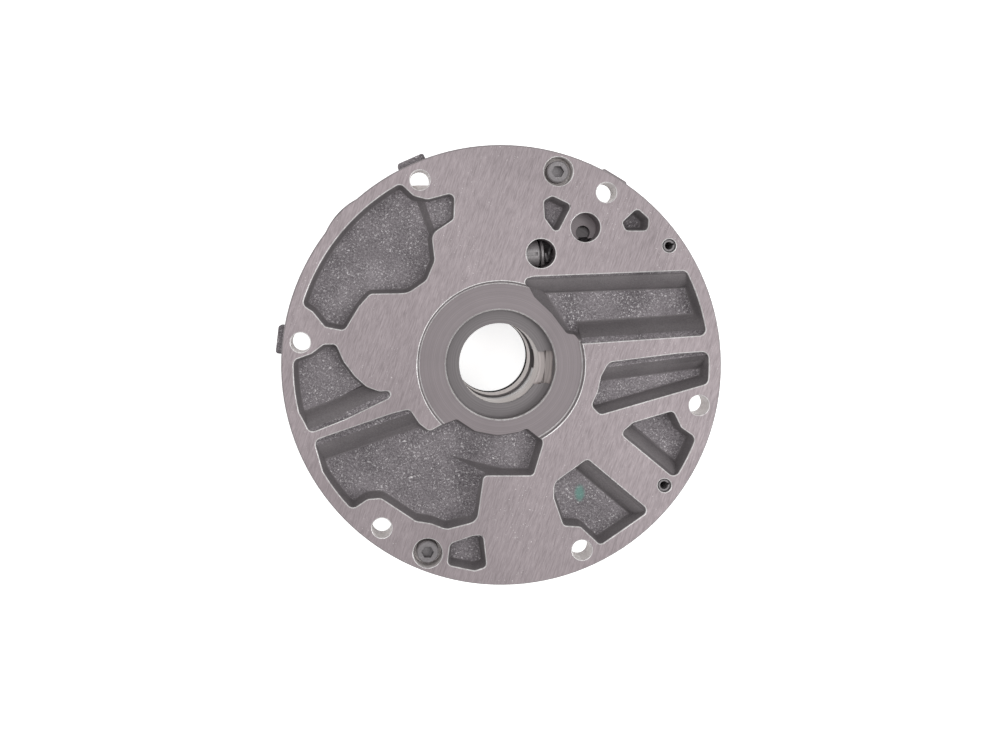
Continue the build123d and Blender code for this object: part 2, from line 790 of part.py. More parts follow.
def slotted_pin(place):
    """Rolled spring pin, standing across a plug, slot towards +X."""
    with BuildPart() as pin:
        with BuildSketch(Plane.XY.offset(-pin_end_depth + pin_bottom_gap)):
            with Locations(place):
                Circle(pin_radius)
                Circle(pin_radius - pin_wall, mode=Mode.SUBTRACT)
            with Locations(Location((*place, 0), (0, 0, pin_slot_angle))):
                Rectangle(
                    2 * pin_radius,
                    pin_slot,
                    align=(Align.MIN, Align.CENTER),
                    mode=Mode.SUBTRACT,
                )
        extrude(amount=pin_end_depth - pin_bottom_gap - pin_top_depth)
    return pin.part


regulator_land = regulator_bore_radius - running_clearance
regulator_spool_end = regulator_spool_start + sum(
    length for length, _ in regulator_steps
)
with BuildPart() as regulator_spool:
    add(
        turned(
            regulator_turning,
            regulator_spool_start,
            [
                (length, regulator_land - relief)
                for length, relief in regulator_steps
            ],
        )
    )
    # tool slot across the outer end
    with BuildSketch(regulator_cross.offset(regulator_spool_end)):
        Rectangle(spool_slot_width, 2 * regulator_land)
    extrude(amount=-spool_slot_depth, mode=Mode.SUBTRACT)
regulator_spool.part.label = "regulator_spool"

relief_land = relief_bore_radius - running_clearance
relief_spool_end = relief_spool_start + sum(length for length, _ in relief_steps)
with BuildPart() as relief_spool:
    add(
        turned(
            relief_turning,
            relief_spool_start,
            [(length, relief_land - relief) for length, relief in relief_steps],
        )
    )
relief_spool.part.label = "relief_spool"

plug_cup_floor = plug_inner_end + plug_cup_depth
regulator_spring = coil_spring(
    regulator_cross,
    regulator_spool_end + spring_end_gap,
    plug_cup_floor - regulator_spool_end - 2 * spring_end_gap,
    regulator_bore_radius - plug_cup_wall - spring_side_clearance - spring_wire_radius,
)
relief_spring = coil_spring(
    relief_cross,
    relief_spool_end + spring_end_gap,
    plug_cup_floor - relief_spool_end - 2 * spring_end_gap,
    relief_bore_radius - plug_cup_wall - spring_side_clearance - spring_wire_radius,
)

with BuildPart() as gallery_plugs:
    for plane in gallery_planes:
        with BuildSketch(plane):
            Circle(plug_radius)
        extrude(amount=plug_height)
        with BuildSketch(plane.offset(plug_wall)):
            Circle(plug_radius - plug_wall)
        extrude(amount=plug_height, mode=Mode.SUBTRACT)
gallery_plugs.part.label = "gallery_plugs"

# ---------------------------------------------------------------- files
pieces = {
    "valve_housing": valve_housing.part,
    "gear_housing": gear_housing.part,
    "drive_gear": drive_gear.part,
    "ring_gear": ring_gear.part,
    "front_bushing": front_bushing.part,
    "hub_bushing": hub_bushing.part,
    "seal_case": seal_case.part,
    "seal_lip": seal_lip.part,
    "garter_spring": garter_spring.part,
    "cap_screws": cap_screws.part,
    "dowel_pins": dowel_pins.part,
    "regulator_spool": regulator_spool.part,
    "regulator_spring": regulator_spring,
    "regulator_plug": end_plug(regulator_cross, regulator_turning, regulator_bore_radius),
    "regulator_plug_seal": plug_seal(regulator_turning, regulator_bore_radius),
    "regulator_pin": slotted_pin(regulator_pin_at),
    "relief_spool": relief_spool.part,
    "relief_spring": relief_spring,
    "relief_plug": end_plug(relief_cross, relief_turning, relief_bore_radius),
    "relief_plug_seal": plug_seal(relief_turning, relief_bore_radius),
    "relief_pin": slotted_pin(relief_pin_at),
    "gallery_plugs": gallery_plugs.part,
}
os.makedirs("parts", exist_ok=True)
for name, drawn in pieces.items():
    piece = drawn.moved(Location((0, 0, origin_depth)))
    piece.label = name
    export_step(piece, f"parts/{name}.step")
    print(name, round(piece.volume), len(piece.solids()))
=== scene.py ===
import json
from math import cos, radians, sin

import bmesh
import bpy
from mathutils import Matrix, Vector


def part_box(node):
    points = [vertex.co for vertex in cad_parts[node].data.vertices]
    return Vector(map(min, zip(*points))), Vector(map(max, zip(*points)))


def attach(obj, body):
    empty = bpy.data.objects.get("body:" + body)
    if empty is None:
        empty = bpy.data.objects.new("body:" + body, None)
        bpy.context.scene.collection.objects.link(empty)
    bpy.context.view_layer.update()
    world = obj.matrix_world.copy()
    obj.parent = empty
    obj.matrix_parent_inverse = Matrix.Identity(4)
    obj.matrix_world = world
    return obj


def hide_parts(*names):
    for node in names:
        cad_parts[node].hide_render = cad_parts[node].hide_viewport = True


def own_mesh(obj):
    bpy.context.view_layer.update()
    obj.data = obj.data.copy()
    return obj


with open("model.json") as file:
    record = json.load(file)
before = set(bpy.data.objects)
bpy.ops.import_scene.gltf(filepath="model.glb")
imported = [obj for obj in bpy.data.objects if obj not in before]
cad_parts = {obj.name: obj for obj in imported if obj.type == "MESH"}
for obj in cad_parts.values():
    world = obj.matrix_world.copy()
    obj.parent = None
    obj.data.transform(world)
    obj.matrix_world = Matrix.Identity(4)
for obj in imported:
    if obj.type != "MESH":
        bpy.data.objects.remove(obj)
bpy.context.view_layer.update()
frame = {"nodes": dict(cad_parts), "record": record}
nodes = frame["nodes"]
mm = 0.001
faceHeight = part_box("valve_housing")[1].z  # the machined mating face
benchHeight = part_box("gear_housing")[0].z  # what the pump stands on
print("pump loaded, face at", round(faceHeight, 4))


# shader helpers

def newGroup(name, inputs, outputs):
    group = bpy.data.node_groups.new(name, "ShaderNodeTree")
    for label, kind, value in inputs:
        socket = group.interface.new_socket(label, in_out="INPUT", socket_type=kind)
        if value is not None:
            socket.default_value = value
    for label, kind in outputs:
        group.interface.new_socket(label, in_out="OUTPUT", socket_type=kind)
    tree = group.nodes
    return group, tree.new("NodeGroupInput"), tree.new("NodeGroupOutput")


def mathNode(tree, operation, first, second=None, third=None):
    node = tree.nodes.new("ShaderNodeMath")
    node.operation = operation
    for index, value in enumerate((first, second, third)):
        if value is None:
            continue
        if isinstance(value, (int, float)):
            node.inputs[index].default_value = value
        else:
            tree.links.new(value, node.inputs[index])
    return node.outputs[0]


def noiseNode(tree, vector, scale, detail, roughness=0.5, distortion=0.0):
    node = tree.nodes.new("ShaderNodeTexNoise")
    if isinstance(scale, (int, float)):
        node.inputs["Scale"].default_value = scale
    else:
        tree.links.new(scale, node.inputs["Scale"])
    node.inputs["Detail"].default_value = detail
    node.inputs["Roughness"].default_value = roughness
    node.inputs["Distortion"].default_value = distortion
    tree.links.new(vector, node.inputs["Vector"])
    return node.outputs["Fac"]


def rampNode(tree, factor, stops):
    node = tree.nodes.new("ShaderNodeValToRGB")
    ramp = node.color_ramp
    while len(ramp.elements) < len(stops):
        ramp.elements.new(0.5)
    for element, (position, colour) in zip(ramp.elements, stops):
        element.position = position
        element.color = (*colour, 1)
    tree.links.new(factor, node.inputs["Fac"])
    return node.outputs["Color"]


def rangeNode(tree, value, low, high, toLow=0.0, toHigh=1.0):
    node = tree.nodes.new("ShaderNodeMapRange")
    for label, number in (
        ("From Min", low), ("From Max", high), ("To Min", toLow), ("To Max", toHigh),
    ):
        node.inputs[label].default_value = number
    tree.links.new(value, node.inputs["Value"])
    return node.outputs["Result"]


def mixColours(tree, factor, first, second, blend="MIX"):
    node = tree.nodes.new("ShaderNodeMix")
    node.data_type = "RGBA"
    node.blend_type = blend
    for socket, value in ((0, factor), (6, first), (7, second)):
        if isinstance(value, (int, float)):
            node.inputs[socket].default_value = value
        elif isinstance(value, (tuple, list)):
            node.inputs[socket].default_value = (*value, 1)
        else:
            tree.links.new(value, node.inputs[socket])
    return node.outputs[2]


def grey(level):
    return (level, level, level)


# effects that several finishes share

groundLook = {
    "stretch": 0.12,  # a stroke's fineness along the grinding, as a share of that across
    "strokes": 1700.0,
    "bands": 600.0,
    "bandShare": 0.25,
    "unevenness": 22.0,
    "specks": 1500.0,
    "speckLimits": (0.68, 0.76),
    "patches": 48.0,
    "patchLimits": (0.46, 0.62),
}


def buildGroundLines():
    # short fine strokes of a surface grinder, with a broad unevenness in tone, and small nicks painted
    # bright as glints
    look = groundLook
    group, start, end = newGroup(
        "ground lines",
        [("Vector", "NodeSocketVector", None), ("Direction", "NodeSocketFloat", 0.0),
         ("Fineness", "NodeSocketFloat", 1.0)],
        [("Lines", "NodeSocketFloat"), ("Tone", "NodeSocketFloat"), ("NickGlints", "NodeSocketFloat")],
    )
    place = start.outputs["Vector"]
    turned = group.nodes.new("ShaderNodeVectorRotate")
    turned.rotation_type = "Z_AXIS"
    group.links.new(place, turned.inputs["Vector"])
    group.links.new(start.outputs["Direction"], turned.inputs["Angle"])
    stretched = group.nodes.new("ShaderNodeMapping")
    stretched.inputs["Scale"].default_value = (look["stretch"], 1.0, 1.0)
    group.links.new(turned.outputs["Vector"], stretched.inputs["Vector"])
    fine = mathNode(group, "MULTIPLY", start.outputs["Fineness"], look["strokes"])
    lines = noiseNode(group, stretched.outputs["Vector"], fine, detail=3.0, roughness=0.7, distortion=0.3)
    coarse = mathNode(group, "MULTIPLY", start.outputs["Fineness"], look["bands"])
    bands = noiseNode(group, stretched.outputs["Vector"], coarse, detail=2.0)
    lines = mathNode(group, "MULTIPLY", lines, 1 - look["bandShare"])
    group.links.new(mathNode(group, "MULTIPLY_ADD", bands, look["bandShare"], lines), end.inputs["Lines"])
    tone = noiseNode(group, place, look["unevenness"], detail=4.0, roughness=0.55)
    group.links.new(tone, end.inputs["Tone"])
    # painted glints: bright specks in patches, standing for small nicks that catch the light
    specks = rangeNode(group, noiseNode(group, place, look["specks"], detail=2.0), *look["speckLimits"])
    patches = rangeNode(group, noiseNode(group, place, look["patches"], detail=3.0), *look["patchLimits"])
    group.links.new(mathNode(group, "MULTIPLY", specks, patches), end.inputs["NickGlints"])
    return group


castSkinLook = {
    "softness": 0.4,
    "grainShare": 0.3,
    "gritShare": 0.5,
    "swell": 260.0,
    "swellShare": 0.7,
    "glintGrain": 0.9,  # as a share of the skin's own grain
    "glintLimits": (0.55, 0.66),
    "patches": 110.0,
    "patchLimits": (0.35, 0.6),
    "patchLeast": 0.35,
    "mottle": 45.0,
    "mottleShare": 0.4,
}


def buildCastSkin():
    # sand-cast skin: rounded grains, and facets where blasting has polished them, painted bright as glints
    look = castSkinLook
    group, start, end = newGroup(
        "cast skin",
        [("Vector", "NodeSocketVector", None), ("Grain", "NodeSocketFloat", 900.0)],
        [("Height", "NodeSocketFloat"), ("GlintFacets", "NodeSocketFloat"), ("Tone", "NodeSocketFloat")],
    )
    place = start.outputs["Vector"]
    grain = start.outputs["Grain"]
    grains = group.nodes.new("ShaderNodeTexVoronoi")
    grains.feature = "SMOOTH_F1"
    grains.inputs["Smoothness"].default_value = look["softness"]
    group.links.new(place, grains.inputs["Vector"])
    group.links.new(grain, grains.inputs["Scale"])
    swell = noiseNode(group, place, look["swell"], detail=3.0, roughness=0.6)
    swell = mathNode(group, "MULTIPLY", swell, look["swellShare"])
    grit = noiseNode(group, place, grain, detail=4.0, roughness=0.75, distortion=0.5)
    lumps = mathNode(group, "MULTIPLY_ADD", grit, look["gritShare"], swell)
    dips = mathNode(group, "MULTIPLY", grains.outputs["Distance"], look["grainShare"])
    group.links.new(mathNode(group, "SUBTRACT", lumps, dips), end.inputs["Height"])
    glintGrain = mathNode(group, "MULTIPLY", grain, look["glintGrain"])
    glints = noiseNode(group, place, glintGrain, detail=4.0, roughness=0.75, distortion=0.8)
    glints = rangeNode(group, glints, *look["glintLimits"])
    patches = noiseNode(group, place, look["patches"], detail=2.0)
    patches = rangeNode(group, patches, *look["patchLimits"], toLow=look["patchLeast"])
    group.links.new(mathNode(group, "MULTIPLY", glints, patches), end.inputs["GlintFacets"])
    mottle = noiseNode(group, place, look["mottle"], detail=4.0, roughness=0.6)
    mottle = mathNode(group, "MULTIPLY", mottle, look["mottleShare"])
    tone = mathNode(group, "MULTIPLY_ADD", grit, 1 - look["mottleShare"], mottle)
    group.links.new(tone, end.inputs["Tone"])
    return group


turnedLook = {"unevenness": 60.0}


def buildTurnedRings():
    # fine rings left by a lathe tool round the main bore
    group, start, end = newGroup(
        "turned rings",
        [("Vector", "NodeSocketVector", None), ("Pitch", "NodeSocketFloat", 3000.0)],
        [("Rings", "NodeSocketFloat"), ("Tone", "NodeSocketFloat"), ("Radius", "NodeSocketFloat")],
    )
    place = start.outputs["Vector"]
    parts = group.nodes.new("ShaderNodeSeparateXYZ")
    group.links.new(place, parts.inputs[0])
    radius = mathNode(group, "SQRT", mathNode(
        group, "ADD",
        mathNode(group, "MULTIPLY", parts.outputs["X"], parts.outputs["X"]),
        mathNode(group, "MULTIPLY", parts.outputs["Y"], parts.outputs["Y"]),
    ))
    section = group.nodes.new("ShaderNodeCombineXYZ")
    group.links.new(radius, section.inputs["X"])
    group.links.new(parts.outputs["Z"], section.inputs["Y"])
    rings = noiseNode(group, section.outputs[0], start.outputs["Pitch"], detail=2.0, roughness=0.6)
    group.links.new(rings, end.inputs["Rings"])
    group.links.new(radius, end.inputs["Radius"])
    tone = noiseNode(group, place, turnedLook["unevenness"], detail=4.0, roughness=0.6)
    group.links.new(tone, end.inputs["Tone"])
    return group


effects = {
    "ground": buildGroundLines(),
    "cast": buildCastSkin(),
    "turned": buildTurnedRings(),
}
print("shared effects built")


def newFinish(name, roughness=0.5, metallic=0.0):
    material = bpy.data.materials.new(name)
    material.use_nodes = True
    tree = material.node_tree
    shader = tree.nodes["Principled BSDF"]
    shader.inputs["Roughness"].default_value = roughness
    shader.inputs["Metallic"].default_value = metallic
    place = tree.nodes.new("ShaderNodeTexCoord").outputs["Object"]
    return material, tree, shader, place


def addEffect(tree, effect, place, **values):
    node = tree.nodes.new("ShaderNodeGroup")
    node.node_tree = effects[effect]
    tree.links.new(place, node.inputs["Vector"])
    for label, value in values.items():
        node.inputs[label].default_value = value
    return node.outputs


def addBump(tree, shader, height, distance):
    bump = tree.nodes.new("ShaderNodeBump")
    bump.inputs["Strength"].default_value = 1.0
    bump.inputs["Distance"].default_value = distance
    tree.links.new(height, bump.inputs["Height"])
    tree.links.new(bump.outputs["Normal"], shader.inputs["Normal"])


# the values of an effect between which a finish goes from dark to light, or from rough to smooth
spread = {
    "lines": (0.36, 0.62),
    "grain": (0.38, 0.62),
    "rings": (0.35, 0.65),
    "tone": (0.3, 0.7),
    "roughness": (0.3, 0.7),
}


def spreadColour(tree, mask, kind, dark, light):
    low, high = spread[kind]
    return rampNode(tree, mask, [(low, dark), (high, light)])


def groundFinish(name, look):
    material, tree, shader, place = newFinish(name, metallic=look["metallic"])
    marks = addEffect(tree, "ground", place, Direction=radians(look["direction"]), Fineness=look["fineness"])
    colour = spreadColour(tree, marks["Lines"], "lines", look["dark"], look["light"])
    tone = spreadColour(tree, marks["Tone"], "tone", grey(look["toneLow"]), grey(1.0))
    colour = mixColours(tree, 1.0, colour, tone, "MULTIPLY")
    # the nicks' near-white colour is a painted glint
    colour = mixColours(tree, marks["NickGlints"], colour, look["nickGlint"])
    tree.links.new(colour, shader.inputs["Base Color"])
    rough = rangeNode(tree, marks["Lines"], *spread["roughness"], look["roughHigh"], look["roughLow"])
    tree.links.new(rough, shader.inputs["Roughness"])
    addBump(tree, shader, marks["Lines"], look["depth"] * mm)
    return material


def addDab(tree, place, skin, colour, dab):
    # a worn dab of inspector's paint
    centred = tree.nodes.new("ShaderNodeMapping")
    centred.vector_type = "TEXTURE"
    centred.inputs["Location"].default_value = dab["at"]
    centred.inputs["Scale"].default_value = dab["size"]
    tree.links.new(place, centred.inputs["Vector"])
    length = tree.nodes.new("ShaderNodeVectorMath")
    length.operation = "LENGTH"
    tree.links.new(centred.outputs["Vector"], length.inputs[0])
    worn = mathNode(tree, "MULTIPLY_ADD", skin["Tone"], -dab["wear"], length.outputs["Value"])
    paint = rangeNode(tree, worn, *dab["edge"], dab["cover"], 0.0)
    return mixColours(tree, paint, colour, dab["colour"])


def castFinish(name, look):
    material, tree, shader, place = newFinish(name, metallic=look["metallic"])
    skin = addEffect(tree, "cast", place, Grain=look["grain"])
    colour = spreadColour(tree, skin["Tone"], "grain", look["dark"], look["light"])
    # the facets' bright colour is a painted glint
    glints = mathNode(tree, "MULTIPLY", skin["GlintFacets"], look["glint"])
    colour = mixColours(tree, glints, colour, look["glintFacet"])
    if "dab" in look:
        colour = addDab(tree, place, skin, colour, look["dab"])
    tree.links.new(colour, shader.inputs["Base Color"])
    rough = rangeNode(tree, skin["GlintFacets"], 0.0, 1.0, look["roughHigh"], look["roughLow"])
    tree.links.new(rough, shader.inputs["Roughness"])
    addBump(tree, shader, skin["Height"], look["depth"] * mm)
    return material


def turnedFinish(name, look):
    material, tree, shader, place = newFinish(name, metallic=look["metallic"])
    marks = addEffect(tree, "turned", place, Pitch=look["pitch"])
    colour = spreadColour(tree, marks["Rings"], "rings", look["dark"], look["light"])
    tone = spreadColour(tree, marks["Tone"], "tone", grey(look["toneLow"]), grey(1.0))
    colour = mixColours(tree, 1.0, colour, tone, "MULTIPLY")
    if "shadedEndFace" in look:
        # outside this radius the piece shows its end, not its lining; the end is painted dark as shade
        outside = rangeNode(tree, marks["Radius"], look["lining"], look["lining"] + look["liningEdge"])
        colour = mixColours(tree, outside, colour, look["shadedEndFace"])
    tree.links.new(colour, shader.inputs["Base Color"])
    rough = rangeNode(tree, marks["Tone"], *spread["roughness"], look["roughLow"], look["roughHigh"])
    tree.links.new(rough, shader.inputs["Roughness"])
    addBump(tree, shader, marks["Rings"], look["depth"] * mm)
    return material


# directions are in degrees and depths in millimetres; grain, pitch and fineness are scales of noise
finishes = {
    "face": groundFinish("ground iron face", {
        "direction": -72.0, "fineness": 1.0, "dark": (0.278, 0.237, 0.249), "light": (0.408, 0.351, 0.369),
        "toneLow": 0.84, "nickGlint": (0.85, 0.82, 0.82), "metallic": 0.25, "roughLow": 0.38,
        "roughHigh": 0.55, "depth": 0.008,
    }),
    # edge breaks painted near white: a painted highlight where the light catches them
    "edge": groundFinish("iron edge painted bright as a highlight", {
        "direction": -72.0, "fineness": 0.5, "dark": (0.62, 0.59, 0.59), "light": (1.0, 0.98, 0.98),
        "toneLow": 0.65, "nickGlint": (0.95, 0.93, 0.93), "metallic": 0.3, "roughLow": 0.3,
        "roughHigh": 0.45, "depth": 0.02,
    }),
    "cast": castFinish("iron as cast", {
        "grain": 1250.0, "dark": (0.085, 0.075, 0.082), "light": (0.3, 0.273, 0.29),
        "glintFacet": (0.8, 0.77, 0.78), "glint": 0.9, "metallic": 0.2, "roughLow": 0.4,
        "roughHigh": 0.75, "depth": 0.3,
        "dab": {
            "at": (37.3 * mm, -60.1 * mm, faceHeight - 8.5 * mm), "size": (2.6 * mm, 4.4 * mm, 5 * mm),
            "wear": 1.6, "edge": (-0.3, 0.25), "cover": 0.75, "colour": (0.13, 0.3, 0.26),
        },
    }),
    "wall": castFinish("iron wall as cast", {
        "grain": 1500.0, "dark": (0.135, 0.122, 0.128), "light": (0.205, 0.188, 0.194),
        "glintFacet": (0.26, 0.25, 0.255), "glint": 0.35, "metallic": 0.15, "roughLow": 0.5,
        "roughHigh": 0.7, "depth": 0.07,
    }),
    "turned": turnedFinish("turned iron", {
        "pitch": 2600.0, "dark": (0.226, 0.197, 0.206), "light": (0.268, 0.234, 0.245), "toneLow": 0.9,
        "metallic": 0.25, "roughLow": 0.36, "roughHigh": 0.5, "depth": 0.006,
    }),
    # turned iron made darker: painted shade for faces deep in the bore and ports, inside the seal seat, and
    # along the recess's top edge
    "shadedTurned": turnedFinish("turned iron painted shaded", {
        "pitch": 1500.0, "dark": (0.165, 0.15, 0.155), "light": (0.215, 0.198, 0.202), "toneLow": 0.88,
        "metallic": 0.2, "roughLow": 0.4, "roughHigh": 0.55, "depth": 0.008,
    }),
    # iron painted pale: painted light on the walls of the bolt holes and the screws' seats
    "litHoleWall": castFinish("iron painted lit in holes", {
        "grain": 900.0, "dark": (0.6, 0.56, 0.55), "light": (0.8, 0.76, 0.75),
        "glintFacet": (0.9, 0.88, 0.87), "glint": 0.6, "metallic": 0.2, "roughLow": 0.3,
        "roughHigh": 0.5, "depth": 0.03,
    }),
    "gear": turnedFinish("ground gear steel", {
        "pitch": 1800.0, "dark": (0.36, 0.35, 0.35), "light": (0.52, 0.51, 0.51), "toneLow": 0.9,
        "metallic": 0.85, "roughLow": 0.22, "roughHigh": 0.36, "depth": 0.008,
    }),
    "lining": turnedFinish("notch of the bore", {
        "pitch": 1500.0, "dark": (0.36, 0.32, 0.31), "light": (0.5, 0.45, 0.44), "toneLow": 0.85,
        "metallic": 0.25, "roughLow": 0.35, "roughHigh": 0.5, "depth": 0.01,
    }),
    "bronze": turnedFinish("bushing bronze", {
        "pitch": 1800.0, "dark": (0.5, 0.44, 0.42), "light": (0.68, 0.61, 0.58), "toneLow": 0.85,
        "metallic": 0.5, "roughLow": 0.3, "roughHigh": 0.45, "depth": 0.01,
        "shadedEndFace": (0.18, 0.165, 0.168), "lining": 18.55 * mm, "liningEdge": 0.05 * mm,
    }),
    "plated": turnedFinish("plated steel", {
        "pitch": 900.0, "dark": (0.46, 0.45, 0.44), "light": (0.62, 0.61, 0.6), "toneLow": 0.85,
        "metallic": 0.85, "roughLow": 0.28, "roughHigh": 0.42, "depth": 0.01,
    }),
    "spool": groundFinish("ground spool steel", {
        "direction": 93.5, "fineness": 1.6, "dark": (0.26, 0.245, 0.25), "light": (0.42, 0.4, 0.405),
        "toneLow": 0.9, "nickGlint": (0.6, 0.58, 0.58), "metallic": 0.3, "roughLow": 0.35,
        "roughHigh": 0.5, "depth": 0.006,
    }),
    "spring": groundFinish("spring wire", {
        "direction": 0.0, "fineness": 2.0, "dark": (0.3, 0.29, 0.3), "light": (0.5, 0.48, 0.49),
        "toneLow": 0.8, "nickGlint": (0.65, 0.64, 0.64), "metallic": 0.4, "roughLow": 0.3,
        "roughHigh": 0.45, "depth": 0.008,
    }),
    "blackened": castFinish("blackened steel", {
        "grain": 1800.0, "dark": (0.17, 0.158, 0.165), "light": (0.27, 0.255, 0.262),
        "glintFacet": (0.5, 0.48, 0.49), "glint": 0.5, "metallic": 0.3, "roughLow": 0.35,
        "roughHigh": 0.55, "depth": 0.02,
    }),
    "rubber": castFinish("seal rubber", {
        "grain": 2200.0, "dark": (0.018, 0.018, 0.019), "light": (0.035, 0.034, 0.035),
        "glintFacet": (0.06, 0.06, 0.06), "glint": 0.2, "metallic": 0.0, "roughLow": 0.55,
        "roughHigh": 0.75, "depth": 0.02,
    }),
}
print("finishes built:", len(finishes))


# modelling steps that several pieces share; the pieces' sizes and places are in millimetres

roundSides = 96
castingWeld = 0.004  # corners closer than this are one
fineWeld = 0.002
flatTurn = 0.3  # degrees between triangles of one flat
smoothTurn = 32  # degrees past which an edge is shown sharp
levelNormal = 0.9999  # a polygon that faces up or down more than this is kept flat
levelSlack = 0.02  # what lies at one height does so to within this
overrun = 1  # how far a cutter reaches past what it cuts


def joined(sheet):
    # one vertex for each corner, one polygon for each flat
    bmesh.ops.remove_doubles(sheet, verts=sheet.verts, dist=castingWeld * mm)
    bmesh.ops.dissolve_limit(
        sheet, angle_limit=radians(flatTurn), use_dissolve_boundaries=False,
        verts=sheet.verts, edges=sheet.edges,
    )
    return sheet


def mergedCopy(name):
    sheet = bmesh.new()
    sheet.from_mesh(nodes[name].data)
    return joined(sheet)


def placeOf(x, y, below):
    # across, along and below the mating face
    return Vector((x * mm, y * mm, faceHeight - below * mm))


def awayOf(vert):
    return vert.co.xy.length / mm


def hullOf(corners):
    sheet = bmesh.new()
    for corner in corners:
        sheet.verts.new(placeOf(*corner))
    found = bmesh.ops.convex_hull(sheet, input=sheet.verts)
    spare = set(found["geom_interior"]) | set(found["geom_unused"])
    loose = [item for item in spare if isinstance(item, bmesh.types.BMVert)]
    bmesh.ops.delete(sheet, geom=loose, context="VERTS")
    bmesh.ops.recalc_face_normals(sheet, faces=sheet.faces)
    return sheet


def bankOf(start, end, width, profile):
    # the sloping foot of a wall, between two points under the wall's edge
    along = (Vector(end) - Vector(start)).normalized()
    inward = Vector((-along.y, along.x))
    corners = []
    for place in (Vector(start), Vector(end)):
        for share, below in profile:
            corners.append((*(place + inward * share * width), below))
    return hullOf(corners)


def rodOf(radius, length):
    sheet = bmesh.new()
    bmesh.ops.create_cone(
        sheet, cap_ends=True, segments=roundSides, radius1=radius * mm, radius2=radius * mm,
        depth=length * mm,
    )
    return sheet


def postOf(at, radius, top, foot):
    # an upright rod, by its middle and how far below the face it starts and ends
    sheet = rodOf(radius, foot - top)
    bmesh.ops.translate(sheet, verts=sheet.verts, vec=placeOf(*at, (top + foot) / 2))
    return sheet


def layOnLine(sheet, angle, point):
    # from lying along x to lying along a valve's line, through a point of it
    bmesh.ops.rotate(sheet, verts=sheet.verts, matrix=Matrix.Rotation(radians(angle), 3, "Z"))
    bmesh.ops.translate(sheet, verts=sheet.verts, vec=placeOf(*point))


def combined(sheet, other, operation):
    # both are closed; the first is returned with the second added or cut away
    pieces = []
    for part in (sheet, other):
        mesh = bpy.data.meshes.new("blank")
        part.to_mesh(mesh)
        part.free()
        piece = bpy.data.objects.new("blank", mesh)
        bpy.context.scene.collection.objects.link(piece)
        pieces.append(piece)
    modifier = pieces[0].modifiers.new("combine", "BOOLEAN")
    modifier.operation = operation
    modifier.solver = "EXACT"
    modifier.object = pieces[1]
    result = bmesh.new()
    result.from_object(pieces[0], bpy.context.evaluated_depsgraph_get())
    for piece in pieces:
        mesh = piece.data
        bpy.data.objects.remove(piece)
        bpy.data.meshes.remove(mesh)
    return result


def edgesAt(sheet, below, turn):
    # edges this far below the mating face that bend by more than the turn, in degrees
    height = faceHeight - below * mm
    return [
        edge for edge in sheet.edges
        if all(abs(vert.co.z - height) < levelSlack * mm for vert in edge.verts)
        and edge.calc_face_angle(0.0) > radians(turn)
    ]


def breakEdges(sheet, edges, width, segments):
    return bmesh.ops.bevel(
        sheet, geom=edges, offset=width * mm, offset_type="OFFSET", segments=segments, profile=0.5,
        affect="EDGES", clamp_overlap=False, loop_slide=True, material=-1,
    )["faces"]


def finishPiece(sheet, name, slots, body, replaced):
    mesh = bpy.data.meshes.new(name)
    for key in slots:
        mesh.materials.append(finishes[key])
    sheet.normal_update()
    sheet.to_mesh(mesh)
    sheet.free()
    mesh.shade_smooth()
    mesh.set_sharp_from_angle(angle=radians(smoothTurn))
    for polygon in mesh.polygons:
        if abs(polygon.normal.z) > levelNormal:
            polygon.use_smooth = False
    piece = bpy.data.objects.new(name, mesh)
    bpy.context.scene.collection.objects.link(piece)
    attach(piece, body)
    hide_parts(replaced)
    return piece


# the valve casting: a closed copy of its node, with forms added in its channels and its bore,
# and with its edges broken; places are across, along and, if there is a third number, below the face

